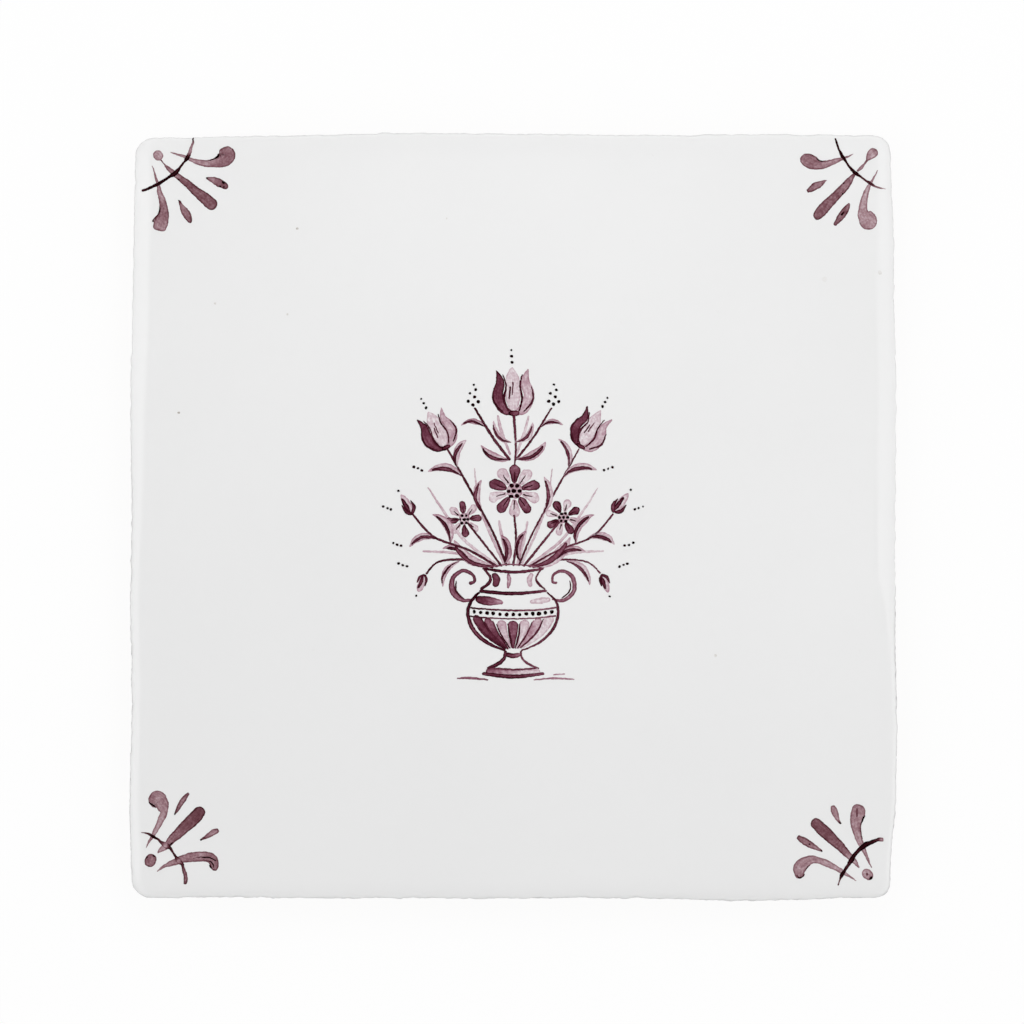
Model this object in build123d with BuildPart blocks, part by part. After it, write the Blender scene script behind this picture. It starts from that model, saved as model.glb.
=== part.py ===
"""Delft tile: one square of clay, rolled out, cut by hand with a leaning knife, glazed white and fired.

It lies on its flat back with the glazed face up, towards +Z, and its picture stands upright along +Y.
The origin is the middle of the back. All sizes are in millimetres.
"""

import os
from math import cos, radians, sin

from build123d import *

# Overall size, over the fullest point of each side
tile_width = 130.0
tile_height = 130.0
tile_thickness = 8.0

# The knife leans in under the face, so the back is smaller than the face by this much on each side
undercut = 1.1
# The cut leaves a small broken edge round the back
back_chamfer = 0.35

# The glaze falls away towards the arris, the widest line of the tile, in a quarter of an ellipse
roll_width = 3.6
roll_depth = 0.9
roll_sections = 13

# Corners, clockwise from the upper left one as the picture is seen
corner_radii = (3.0, 2.6, 2.2, 3.3)

# How far the hand-cut arris strays inside the fullest line of each side, at even steps along it, clockwise
top_stray = (0.90, 0.60, 0.45, 0.10, 0.00, 0.15, 0.30, 0.40, 0.25, 0.30, 0.45)
right_stray = (1.10, 0.65, 0.50, 0.15, 0.20, 0.25, 0.25, 0.20, 0.00, 0.40, 1.20)
bottom_stray = (0.60, 0.25, 0.00, 0.40, 0.45, 0.40, 0.45, 0.45, 0.45, 0.65, 0.45)
left_stray = (0.35, 0.00, 0.35, 0.35, 0.20, 0.40, 0.25, 0.30, 0.60, 0.75, 1.00)


def turned(x, y, quarter_turns):
    """A point or direction of the top side, turned clockwise to another side."""
    for _ in range(quarter_turns):
        x, y = y, -x
    return x, y


def outline(height, inset):
    """The outline at a height, this far inside the arris: four straying sides and four round corners."""
    strays = (top_stray, right_stray, bottom_stray, left_stray)
    reaches = (tile_height / 2, tile_width / 2) * 2
    with BuildSketch(Plane.XY.offset(height)) as section:
        with BuildLine():
            for side, stray in enumerate(strays):
                following = (side + 1) % 4
                reach = reaches[side] - inset
                half_run = reaches[following] - inset
                radius = corner_radii[following]
                start = corner_radii[side] + strays[side - 1][-1] - half_run
                end = half_run - strays[following][0] - radius
                step = (end - start) / (len(stray) - 1)
                along = turned(1, 0, side)
                points = [turned(start + i * step, reach - cut, side) for i, cut in enumerate(stray)]
                Spline(*points, tangents=(along, along))
                CenterArc(turned(end, reach - stray[-1] - radius, side), radius, 90 - 90 * side, -90)
        make_face()
    return section.sketch


with BuildPart() as tile:
    # Clay body, from the smaller back out to the arris
    arris_height = tile_thickness - roll_depth
    loft([outline(0, undercut), outline(arris_height, 0)], ruled=True)

    # Rolled shoulder, from the arris in to the flat of the face
    climbs = [radians(90 * section / (roll_sections - 1)) for section in range(roll_sections)]
    loft([outline(arris_height + roll_depth * sin(a), roll_width * (1 - cos(a))) for a in climbs])

    # Broken edge round the back
    chamfer(tile.edges().group_by(Axis.Z)[0], length=back_chamfer)

tile.part.label = "tile"

os.makedirs("parts", exist_ok=True)
export_step(tile.part, "parts/tile.step")
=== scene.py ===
import cmath
import math
import random

import bpy
import numpy as np
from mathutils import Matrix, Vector, geometry
from mathutils.bvhtree import BVHTree


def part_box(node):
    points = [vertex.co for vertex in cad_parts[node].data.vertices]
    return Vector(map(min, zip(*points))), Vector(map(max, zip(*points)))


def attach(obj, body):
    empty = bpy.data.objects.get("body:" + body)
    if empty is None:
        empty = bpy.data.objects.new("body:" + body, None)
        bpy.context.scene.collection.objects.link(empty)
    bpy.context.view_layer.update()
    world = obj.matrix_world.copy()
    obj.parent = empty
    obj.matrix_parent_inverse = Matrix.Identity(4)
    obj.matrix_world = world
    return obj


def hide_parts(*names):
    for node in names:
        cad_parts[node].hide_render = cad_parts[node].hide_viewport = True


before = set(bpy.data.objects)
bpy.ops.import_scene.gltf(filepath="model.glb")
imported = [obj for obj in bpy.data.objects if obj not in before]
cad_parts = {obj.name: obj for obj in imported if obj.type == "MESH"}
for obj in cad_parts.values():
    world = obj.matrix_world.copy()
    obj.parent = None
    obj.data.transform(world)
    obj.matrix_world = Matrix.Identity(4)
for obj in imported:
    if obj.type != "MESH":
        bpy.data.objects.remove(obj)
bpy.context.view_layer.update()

# Clay body
# The real tile is one slab of buff earthenware, rolled out, cut by hand with a leaning knife and fired.
# Its mesh follows the CAD solid: rays find the outline at the arris and at the back, and rings of points run
# between them over the rolled shoulder and down the undercut side. The knife's tremble is added to that.
mm = 0.001
_, tile_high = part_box("tile")
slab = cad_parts["tile"].data
slab_points = [corner.co for corner in slab.vertices]
slab_surface = BVHTree.FromPolygons(slab_points, [face.vertices for face in slab.polygons])
arris_height = max(slab_points, key=lambda point: point.x).z
face_height = tile_high.z
roll_width = 3.6 * mm
back_chamfer = 0.35 * mm
rim_band = 6.0 * mm
rim_corner = 3.0 * mm
side_rays = 212
corner_rays = 40
shoulder_rings = 14
side_rings = 12
fill_spacing = 2.5 * mm
ragged_reach = 1.6 * mm
# How much the knife trembled on each side, and how the shoulder falls, both clockwise from the upper left.
# A fall of 2 is a quarter of an ellipse, more is a tighter roll, and less is nearer to a bevel.
knife_care = (0.85, 1.0, 1.0, 0.7)
shoulder_fall = (1.8, 2.2, 2.2, 2.2, 2.2, 2.1, 1.9, 1.5, 1.45, 1.5, 6.0, 6.0,
                 2.8, 2.4, 2.4, 2.4, 2.5, 2.6, 2.6, 3.2, 3.2, 2.1, 1.65, 1.65)


def rim_rays():
    """Clockwise from the upper left: points inside the rim, the ways out, and how ragged the cut is."""
    starts, ways, care = [], [], []
    reaches = (tile_high.y, tile_high.x) * 2
    for quarter, reach in enumerate(reaches):
        turn = (-1j) ** quarter
        half_run = reaches[quarter - 1] - rim_band - rim_corner
        corner = complex(half_run, reach - rim_band - rim_corner)
        for step in range(side_rays):
            starts.append(turn * complex(half_run * (2 * step / side_rays - 1), reach - rim_band))
            ways.append(turn * 1j)
            care.append(knife_care[quarter])
        for step in range(corner_rays):
            way = cmath.rect(1, math.radians(90 - 90 * step / corner_rays))
            starts.append(turn * (corner + rim_corner * way))
            ways.append(turn * way)
            care.append(0.6)
    return np.array(starts), np.array(ways), np.array(care)


def evened(values, span):
    """A round of values, each averaged with its neighbours up to this many steps away."""
    return sum(np.roll(values, shift) for shift in range(-span, span + 1)) / (2 * span + 1)


def solid_reach(height):
    """How far the solid reaches along each ray at a height."""
    far = 30 * mm
    found = []
    for start, way in zip(rim_starts, rim_ways):
        outside = start + far * way
        inwards = Vector((-way.real, -way.imag, 0))
        hit = slab_surface.ray_cast(Vector((outside.real, outside.imag, height)), inwards)
        found.append(far - hit[3])
    return evened(np.array(found), 2)


def slab_mesh():
    """A closed mesh of the tile, with the knife's raggedness and its direction kept on each point."""
    arris_reach = solid_reach(arris_height - 0.02 * mm)
    back_reach = solid_reach(back_chamfer + 0.02 * mm)
    count = len(rim_starts)
    falls = len(shoulder_fall)
    fall = np.interp(np.arange(count) / count * falls, np.arange(falls), shoulder_fall, period=falls)
    rings = [(0 * arris_reach, face_height, 0.0)]
    rings.append(((arris_reach - roll_width) / 2, face_height, 0.0))
    for ring in range(shoulder_rings + 1):
        outwards = math.sin(math.radians(90 * ring / shoulder_rings))
        inset = roll_width * (1 - outwards)
        height = arris_height + (face_height - arris_height) * (1 - outwards ** fall) ** (1 / fall)
        rings.append((arris_reach - inset, height, max(0.0, 1 - inset / ragged_reach)))
    for ring in range(1, side_rings + 1):
        share = ring / side_rings
        height = arris_height + (back_chamfer - arris_height) * share
        rings.append((arris_reach + (back_reach - arris_reach) * share, height, 1.0))
    rings.append((back_reach - back_chamfer, 0.0, 0.8))
    rings.append((0 * back_reach, 0.0, 0.0))

    points, raggedness, outward = [], [], []
    even_care = evened(rim_care, 12)
    for reach, height, ragged in rings:
        spots = rim_starts + reach * rim_ways
        heights = height + 0 * reach
        for spot, way, level, care in zip(spots, rim_ways, heights, even_care):
            points.append((spot.real, spot.imag, level))
            raggedness.append(ragged * care)
            outward.append((way.real, way.imag, 0))
    faces = []
    for ring in range(len(rings) - 1):
        for ray in range(count):
            following = (ray + 1) % count
            inner, outer = ring * count, (ring + 1) * count
            faces.append((inner + ray, inner + following, outer + following, outer + ray))

    flat_reach = tile_high.x - rim_band - 0.6 * fill_spacing
    steps = np.linspace(-flat_reach, flat_reach, int(2 * flat_reach / fill_spacing) + 1)
    grid = [Vector((x, y)) for x in steps for y in steps]
    ring_edges = [(ray, (ray + 1) % count) for ray in range(count)]
    for first, height, upwards in ((0, face_height, True), ((len(rings) - 1) * count, 0.0, False)):
        border = [Vector(point[:2]) for point in points[first:first + count]]
        flat, _, triangles, origins, _, _ = geometry.delaunay_2d_cdt(border + grid, ring_edges, [], 1, 1e-7)
        numbers = []
        for at, origin in zip(flat, origins):
            if origin[0] < count:
                numbers.append(first + origin[0])
                continue
            numbers.append(len(points))
            points.append((at.x, at.y, height))
            raggedness.append(0.0)
            outward.append((0, 0, 0))
        for triangle in triangles:
            face = [numbers[corner] for corner in triangle]
            faces.append(face if upwards else face[::-1])

    mesh = bpy.data.meshes.new("tile_body")
    mesh.from_pydata(points, [], faces)
    mesh.attributes.new("ragged", "FLOAT", "POINT").data.foreach_set("value", raggedness)
    mesh.attributes.new("outward", "FLOAT_VECTOR", "POINT").data.foreach_set("vector", np.ravel(outward))
    mesh.shade_smooth()
    return mesh


def place(tree, kind, inputs=None, **options):
    """Adds a node with its options and fills its inputs: a socket is linked, anything else is the value."""
    node = tree.nodes.new(kind)
    for name, value in options.items():
        setattr(node, name, value)
    for name, value in (inputs or {}).items():
        if isinstance(value, bpy.types.NodeSocket):
            tree.links.new(value, node.inputs[name])
        else:
            node.inputs[name].default_value = value
    return node


def output(tree, kind, inputs=None, **options):
    """The first output of a new node."""
    return place(tree, kind, inputs, **options).outputs[0]


def maths(tree, operation, *values, clamp=False):
    return output(tree, "ShaderNodeMath", dict(enumerate(values)), operation=operation, use_clamp=clamp)


def vectors(tree, operation, inputs):
    return output(tree, "ShaderNodeVectorMath", inputs, operation=operation)


def ranged(tree, value, low, high, to_low=0.0, to_high=1.0, smooth=False):
    inputs = {"Value": value, "From Min": low, "From Max": high, "To Min": to_low, "To Max": to_high}
    kind = "SMOOTHSTEP" if smooth else "LINEAR"
    return output(tree, "ShaderNodeMapRange", inputs, interpolation_type=kind)


def noise(tree, vector, scale, detail=2.0, roughness=0.5):
    """Soft noise about zero, most of it within half a unit."""
    inputs = {"Vector": vector, "Scale": scale, "Detail": detail, "Roughness": roughness}
    return maths(tree, "SUBTRACT", output(tree, "ShaderNodeTexNoise", inputs), 0.5)


def mixed(tree, factor, low, high, colours=False):
    """Goes from one value or colour to another with the factor."""
    first = 6 if colours else 2
    inputs = {0: factor, first: low, first + 1: high}
    node = place(tree, "ShaderNodeMix", inputs, data_type="RGBA" if colours else "FLOAT")
    return node.outputs[2 if colours else 0]


def named(tree, name, kind="FLOAT"):
    return output(tree, "GeometryNodeInputNamedAttribute", {"Name": name}, data_type=kind)


def node_tree(name, inputs, outputs, kind="GeometryNodeTree"):
    """A new node group with named sockets, and the nodes that stand for its inputs and outputs."""
    tree = bpy.data.node_groups.new(name, kind)
    for in_out, sockets in (("INPUT", inputs), ("OUTPUT", outputs)):
        for socket, socket_kind in sockets.items():
            tree.interface.new_socket(socket, in_out=in_out, socket_type="NodeSocket" + socket_kind)
    return tree, tree.nodes.new("NodeGroupInput").outputs, tree.nodes.new("NodeGroupOutput").inputs


def ended(tree, geometry, material, result):
    """Closes a Geometry Nodes tree: everything made real, and of one material."""
    whole = output(tree, "GeometryNodeRealizeInstances", {0: geometry})
    whole = output(tree, "GeometryNodeSetMaterial", {"Geometry": whole, "Material": material})
    tree.links.new(whole, result["Geometry"])
    return tree


def hand_finish_tree():
    """Moves the cut edge in and out as the knife trembled, and lets the glazed face swell a little."""
    sizes = {"Geometry": "Geometry", "Long Tremble": "Float", "Short Tremble": "Float", "Swell": "Float"}
    sizes |= {"Arris Height": "Float", "Face Height": "Float", "Finish": "Material"}
    tree, given, result = node_tree("hand_finish", sizes, {"Geometry": "Geometry"})
    place_now = output(tree, "GeometryNodeInputPosition")
    long_tremble = maths(tree, "MULTIPLY", noise(tree, place_now, 190, 2), given["Long Tremble"])
    short_tremble = maths(tree, "MULTIPLY", noise(tree, place_now, 640, 3, 0.6), given["Short Tremble"])
    tremble = maths(tree, "MULTIPLY", maths(tree, "ADD", long_tremble, short_tremble), named(tree, "ragged"))
    sideways = vectors(tree, "SCALE", {0: named(tree, "outward", "FLOAT_VECTOR"), "Scale": tremble})
    height = place(tree, "ShaderNodeSeparateXYZ", {0: place_now}).outputs["Z"]
    on_face = ranged(tree, height, given["Arris Height"], given["Face Height"], smooth=True)
    swell = maths(tree, "MULTIPLY", noise(tree, place_now, 38, 1), given["Swell"])
    upwards = output(tree, "ShaderNodeCombineXYZ", {"Z": maths(tree, "MULTIPLY", swell, on_face)})
    offset = vectors(tree, "ADD", {0: sideways, 1: upwards})
    moved = output(tree, "GeometryNodeSetPosition", {"Geometry": given["Geometry"], "Offset": offset})
    return ended(tree, moved, given["Finish"], result)


def made(name, carrier, tree, values):
    """Runs a Geometry Nodes tree on a mesh and leaves its result as a plain mesh object."""
    piece = bpy.data.objects.new(name, carrier)
    bpy.context.scene.collection.objects.link(piece)
    modifier = piece.modifiers.new(tree.name, "NODES")
    modifier.node_group = tree
    for socket in tree.interface.items_tree:
        if socket.in_out == "INPUT" and socket.name in values:
            modifier[socket.identifier] = values[socket.name]
    evaluated = piece.evaluated_get(bpy.context.evaluated_depsgraph_get())
    result = bpy.data.meshes.new_from_object(evaluated)
    piece.modifiers.clear()
    piece.data = result
    result.name = name
    bpy.data.meshes.remove(carrier)
    return piece


# Tin glaze
# The clay is dipped face down in white tin glaze, which stops in a wavering line just below the arris. The
# second firing melts it to one glossy coat with the clay. One material holds both, mixed at the glaze line.
glaze_white = (0.80, 0.80, 0.80, 1)
buff_clay = (0.62, 0.46, 0.32, 1)
pale_clay = (0.72, 0.58, 0.43, 1)
glaze_stop = 1.7 * mm
glaze_waver = 3.2 * mm
glaze_fade = 0.35 * mm
pinhole_depth = 0.02 * mm
glaze_layer = {"White": glaze_white, "Clouding": 0.035, "Wave Height": 0.05 * mm}


def tin_glaze_group():
    """Colour, roughness and height of the melted glaze: slow clouds, a fine curdle, waves and pinholes."""
    inputs = {"White": "Color", "Clouding": "Float", "Wave Height": "Float", "Pinhole Depth": "Float"}
    outputs = {"Color": "Color", "Roughness": "Float", "Height": "Float"}
    tree, given, result = node_tree("tin_glaze", inputs, outputs, "ShaderNodeTree")
    at = place(tree, "ShaderNodeTexCoord").outputs["Object"]
    clouds = noise(tree, at, 24, 2)
    curdle = noise(tree, at, 420, 3, 0.6)
    shade = maths(tree, "MULTIPLY_ADD", curdle, 0.35, clouds)
    shade = maths(tree, "MULTIPLY_ADD", shade, given["Clouding"], 1.0)
    tree.links.new(vectors(tree, "SCALE", {0: given["White"], "Scale": shade}), result["Color"])
    tree.links.new(maths(tree, "MULTIPLY_ADD", curdle, 0.05, 0.13), result["Roughness"])
    waves = maths(tree, "MULTIPLY_ADD", noise(tree, at, 330, 2), 0.25, noise(tree, at, 75, 1))
    holes = place(tree, "ShaderNodeTexVoronoi", {"Vector": at, "Scale": 210.0, "Randomness": 1.0})
    hole = ranged(tree, holes.outputs["Distance"], 0.02, 0.055, 1.0, 0.0, smooth=True)
    depth = maths(tree, "MULTIPLY", hole, given["Pinhole Depth"])
    height = maths(tree, "SUBTRACT", maths(tree, "MULTIPLY", waves, given["Wave Height"]), depth)
    tree.links.new(height, result["Height"])
    return tree


def new_material(name):
    material = bpy.data.materials.new(name)
    material.use_nodes = True
    return material, material.node_tree, material.node_tree.nodes["Principled BSDF"]


def glazed_clay():
    """White glaze over buff clay: bare, gritty and knife-dragged below the glaze line and on the back."""
    material, tree, shader = new_material("tin_glazed_clay")
    at = place(tree, "ShaderNodeTexCoord").outputs["Object"]
    pinholes = {"Pinhole Depth": pinhole_depth}
    glaze = place(tree, "ShaderNodeGroup", glaze_layer | pinholes, node_tree=tin_glaze_group())

    tone = ranged(tree, noise(tree, at, 160, 4, 0.65), -0.25, 0.25)
    clay = mixed(tree, tone, buff_clay, pale_clay, colours=True)
    grit = ranged(tree, noise(tree, at, 2600, 1), 0.16, 0.24)
    gritty = maths(tree, "MULTIPLY_ADD", grit, -0.45, 1.0)
    clay_colour = vectors(tree, "SCALE", {0: clay, "Scale": gritty})
    stretched = vectors(tree, "MULTIPLY", {0: at, 1: (60, 60, 1500)})
    drag = noise(tree, stretched, 1.0, 2)
    pores = noise(tree, at, 1500, 3, 0.6)
    clay_height = maths(tree, "MULTIPLY", maths(tree, "MULTIPLY_ADD", drag, 0.8, pores), 0.16 * mm)

    height = place(tree, "ShaderNodeSeparateXYZ", {0: at}).outputs["Z"]
    level = vectors(tree, "MULTIPLY", {0: at, 1: (1, 1, 0.3)})
    waver = maths(tree, "MULTIPLY_ADD", noise(tree, level, 110, 3, 0.55), glaze_waver, height)
    line = arris_height - glaze_stop
    covered = ranged(tree, waver, line - glaze_fade, line + glaze_fade, smooth=True)

    relief = mixed(tree, covered, clay_height, glaze.outputs["Height"])
    bump = place(tree, "ShaderNodeBump", {"Height": relief, "Distance": 1.0})
    colour = mixed(tree, covered, clay_colour, glaze.outputs["Color"], colours=True)
    tree.links.new(colour, shader.inputs["Base Color"])
    tree.links.new(mixed(tree, covered, 0.86, glaze.outputs["Roughness"]), shader.inputs["Roughness"])
    tree.links.new(bump.outputs[0], shader.inputs["Normal"])
    return material


rim_starts, rim_ways, rim_care = rim_rays()
finish = {"Long Tremble": 0.45 * mm, "Short Tremble": 0.85 * mm, "Swell": 0.10 * mm}
finish |= {"Arris Height": arris_height, "Face Height": face_height, "Finish": glazed_clay()}
tile_body = made("tile_body", slab_mesh(), hand_finish_tree(), finish)
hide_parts("tile")
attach(tile_body, "root")

# Brush and manganese colour
# The picture is painted on the raw glaze with a pointed brush in manganese purple, and fires into it. Each
# stroke here is a thin film on the glaze: a path with a half width and a load of colour at each point.
# A Geometry Nodes tree sweeps it, rounds its ends and lays it on the tile.
film = 0.022 * mm
film_root = 0.02 * mm
layer_step = 0.003 * mm
stroke_step = 0.08 * mm
brush_tremble = 0.16
thinnest = 0.012 * mm
end_curve = 2.2
washes, dabs, pools, lines, dots = 0, 2, 4, 6, 8
manganese = (0.212, 0.094, 0.114)


def stored(tree, geometry, values):
    """Keeps values on the points of a geometry under these names."""
    for name, value in values.items():
        kept = {"Geometry": geometry, "Name": name, "Value": value}
        geometry = output(tree, "GeometryNodeStoreNamedAttribute", kept, data_type="FLOAT", domain="POINT")
    return geometry


def brush_tree():
    """Sweeps each path into a film: width, rounded ends, a tremble, and the glaze under it."""
    sizes = {"Geometry": "Geometry", "Tile": "Object", "Step": "Float", "Tremble": "Float"}
    sizes |= {"Feathering": "Float", "Film": "Float", "Root": "Float", "Colour": "Material"}
    tree, given, result = node_tree("brush_strokes", sizes, {"Geometry": "Geometry"})
    path = output(tree, "GeometryNodeMeshToCurve", {"Mesh": given["Geometry"]})
    path = output(tree, "GeometryNodeCurveSplineType", {"Curve": path}, spline_type="CATMULL_ROM")
    path = output(tree, "GeometryNodeResampleCurve", {"Curve": path, "Length": given["Step"]}, mode="LENGTH")

    along = place(tree, "GeometryNodeSplineParameter").outputs["Length"]
    total = place(tree, "GeometryNodeSplineLength").outputs["Length"]
    to_end = maths(tree, "MINIMUM", along, maths(tree, "SUBTRACT", total, along))
    seed = named(tree, "seed")
    wander = output(tree, "ShaderNodeCombineXYZ", {"X": along, "Y": seed, "Z": 0.0})
    tremble = maths(tree, "MULTIPLY_ADD", noise(tree, wander, 700, 2), given["Tremble"], 1.0)
    half_width = maths(tree, "MULTIPLY", named(tree, "half_width"), tremble)
    end_length = maths(tree, "MULTIPLY", half_width, named(tree, "roundness"))
    rounding = maths(tree, "SUBTRACT", 1.0, maths(tree, "DIVIDE", to_end, end_length, clamp=True))
    rounding = maths(tree, "SUBTRACT", 1.0, maths(tree, "POWER", rounding, end_curve))
    rounding = maths(tree, "POWER", rounding, 1 / end_curve)
    half_width = maths(tree, "MAXIMUM", maths(tree, "MULTIPLY", half_width, rounding), thinnest)
    path = stored(tree, path, {"reach": half_width, "along": along, "to_end": to_end})
    path = output(tree, "GeometryNodeSetCurveNormal", {"Curve": path}, mode="Z_UP")

    ring = output(tree, "GeometryNodeCurvePrimitiveCircle", {"Resolution": 16, "Radius": 1.0})
    at_ring = place(tree, "ShaderNodeSeparateXYZ", {0: output(tree, "GeometryNodeInputPosition")})
    ring = stored(tree, ring, {"raised": at_ring.outputs["Y"], "across": at_ring.outputs["X"]})
    swept = {"Curve": path, "Profile Curve": ring, "Scale": named(tree, "reach"), "Fill Caps": True}
    swept = output(tree, "GeometryNodeCurveToMesh", swept)
    swept = output(tree, "GeometryNodeFlipFaces", {"Mesh": swept})

    inwards = maths(tree, "SUBTRACT", 1.0, maths(tree, "ABSOLUTE", named(tree, "across")))
    inwards = maths(tree, "MULTIPLY", inwards, named(tree, "reach"))
    edge = maths(tree, "MINIMUM", inwards, named(tree, "to_end"))
    side = maths(tree, "MULTIPLY", named(tree, "across"), named(tree, "reach"))
    swept = stored(tree, swept, {"edge": edge, "side": side})

    spot = output(tree, "GeometryNodeInputPosition")
    frayed = {"Vector": spot, "Scale": 1900.0, "Detail": 2.0}
    frayed = place(tree, "ShaderNodeTexNoise", frayed).outputs["Color"]
    frayed = vectors(tree, "SUBTRACT", {0: frayed, 1: (0.5, 0.5, 0.5)})
    frayed = vectors(tree, "SCALE", {0: frayed, "Scale": given["Feathering"]})
    spot = vectors(tree, "ADD", {0: spot, 1: frayed})
    level = vectors(tree, "MULTIPLY", {0: spot, 1: (1, 1, 0)})
    above = vectors(tree, "ADD", {0: level, 1: (0, 0, 2 * face_height)})
    beside = vectors(tree, "ADD", {0: level, 1: (0, 0, arris_height)})
    tile = place(tree, "GeometryNodeObjectInfo", {"Object": given["Tile"]}).outputs["Geometry"]
    under = {"Target Geometry": tile, "Source Position": above}
    under |= {"Ray Direction": (0, 0, -1), "Ray Length": 1.0}
    under = place(tree, "GeometryNodeRaycast", under).outputs
    rim = {0: tile, "Sample Position": beside}
    rim = place(tree, "GeometryNodeProximity", rim, target_element="FACES").outputs["Position"]
    glaze = {"Switch": under["Is Hit"], "False": rim, "True": under["Hit Position"]}
    glaze = output(tree, "GeometryNodeSwitch", glaze, input_type="VECTOR")
    on_top = maths(tree, "GREATER_THAN", named(tree, "raised"), 0.1)
    height = maths(tree, "ADD", given["Film"], named(tree, "lift"))
    height = maths(tree, "MULTIPLY", on_top, maths(tree, "ADD", height, given["Root"]))
    height = maths(tree, "SUBTRACT", height, given["Root"])
    lifted = vectors(tree, "ADD", {0: glaze, 1: output(tree, "ShaderNodeCombineXYZ", {"Z": height})})
    laid = output(tree, "GeometryNodeSetPosition", {"Geometry": swept, "Position": lifted})
    return ended(tree, laid, given["Colour"], result)


def fired_colour(name, tint):
    """Glaze stained by colour: the thicker it was left, the darker, with bristle lines and a dark rim."""
    material, tree, shader = new_material(name)
    at = place(tree, "ShaderNodeTexCoord").outputs["Object"]
    kept = {}
    for word in ("load", "along", "side", "edge", "seed"):
        kept[word] = place(tree, "ShaderNodeAttribute", attribute_name=word).outputs["Fac"]
    glaze = place(tree, "ShaderNodeGroup", glaze_layer, node_tree=bpy.data.node_groups["tin_glaze"])

    lengthwise = maths(tree, "MULTIPLY", kept["along"], 0.09)
    bristle_at = {"X": lengthwise, "Y": kept["side"], "Z": kept["seed"]}
    bristles = noise(tree, output(tree, "ShaderNodeCombineXYZ", bristle_at), 3600, 2)
    puddles = noise(tree, at, 1150, 3, 0.6)
    grain = noise(tree, at, 2700, 2, 0.6)
    mottle = maths(tree, "MULTIPLY", bristles, 0.5)
    mottle = maths(tree, "MULTIPLY_ADD", puddles, 0.75, mottle)
    mottle = maths(tree, "MULTIPLY_ADD", grain, 0.8, mottle)
    share = maths(tree, "MINIMUM", maths(tree, "MULTIPLY_ADD", kept["load"], 0.9, 0.35), 1.0)
    mottle = maths(tree, "MULTIPLY", mottle, share)
    rim = ranged(tree, kept["edge"], 0.1 * mm, 0.36 * mm, 1.0, 0.0, smooth=True)
    thickness = maths(tree, "MULTIPLY_ADD", rim, 0.55, 0.94)
    density = maths(tree, "MULTIPLY_ADD", thickness, kept["load"], mottle)
    density = maths(tree, "MAXIMUM", density, 0.05)
    powers = output(tree, "ShaderNodeCombineXYZ", {"X": density, "Y": density, "Z": density})
    stain = vectors(tree, "POWER", {0: tint, 1: powers})
    colour = vectors(tree, "MULTIPLY", {0: glaze.outputs["Color"], 1: stain})
    tree.links.new(colour, shader.inputs["Base Color"])
    tree.links.new(glaze.outputs["Roughness"], shader.inputs["Roughness"])
    shader.inputs["Specular IOR Level"].default_value = 0.02
    bump = place(tree, "ShaderNodeBump", {"Height": glaze.outputs["Height"], "Distance": 1.0})
    tree.links.new(bump.outputs[0], shader.inputs["Normal"])
    return material


brush = brush_tree()
manganese_paint = fired_colour("manganese_paint", manganese)


def dab(path, load, layer=dabs, roundness=1.0):
    """One stroke: its points (x, y, half width) in mm, its load of colour, one or one for each point, its
    layer, and how round its ends are, from 0, cut square, to 1, half a circle."""
    loads = load if isinstance(load, tuple) else (load,) * len(path)
    return path, loads, layer, roundness


def pool(path, load):
    """A spot or line where the colour gathered and fired darker."""
    return dab(path, load, pools)


def paint(name, strokes, colour, step=stroke_step):
    """Lays strokes on the tile as one piece, in steps of this length, with neighbours at other heights."""
    points, edges = [], []
    kept = {word: [] for word in ("half_width", "load", "lift", "seed", "roundness")}
    for number, (path, loads, layer, roundness) in enumerate(strokes):
        first = len(points)
        edges += [(point, point + 1) for point in range(first, first + len(path) - 1)]
        points += [(x * mm, y * mm, 0) for x, y, half_width in path]
        kept["half_width"] += [half_width * mm for x, y, half_width in path]
        kept["load"] += loads
        kept["lift"] += [(layer + 0.24 * (number % 8)) * layer_step] * len(path)
        kept["seed"] += [0.37 * number] * len(path)
        kept["roundness"] += [roundness] * len(path)
    carrier = bpy.data.meshes.new(name)
    carrier.from_pydata(points, edges, [])
    for word, values in kept.items():
        carrier.attributes.new(word, "FLOAT", "POINT").data.foreach_set("value", values)
    values = {"Tile": tile_body, "Step": step, "Tremble": brush_tremble, "Feathering": 0.26 * mm}
    values |= {"Film": film, "Root": film_root, "Colour": colour}
    piece = made(name, carrier, brush, values)
    piece.data.shade_smooth()
    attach(piece, "root")
    return piece


# Corner ornaments
# Each corner has the old spray of brush dabs: a dot, one long dab along the diagonal, two hooked dabs, two
# drops between them, and a thin arc drawn across their tails. All are painted freehand, so the four differ.


def corner_ornament(name, sideways, upwards, spray):
    """Paints a spray whose points are measured in from the tile's two edges at that corner, in mm."""
    edge_x = tile_high.x / mm
    edge_y = tile_high.y / mm
    strokes = []
    for path, loads, layer, roundness in spray:
        turned = [(sideways * (edge_x - u), upwards * (edge_y - v), half_width) for u, v, half_width in path]
        strokes.append((turned, loads, layer, roundness))
    paint(name, strokes, manganese_paint)


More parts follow.
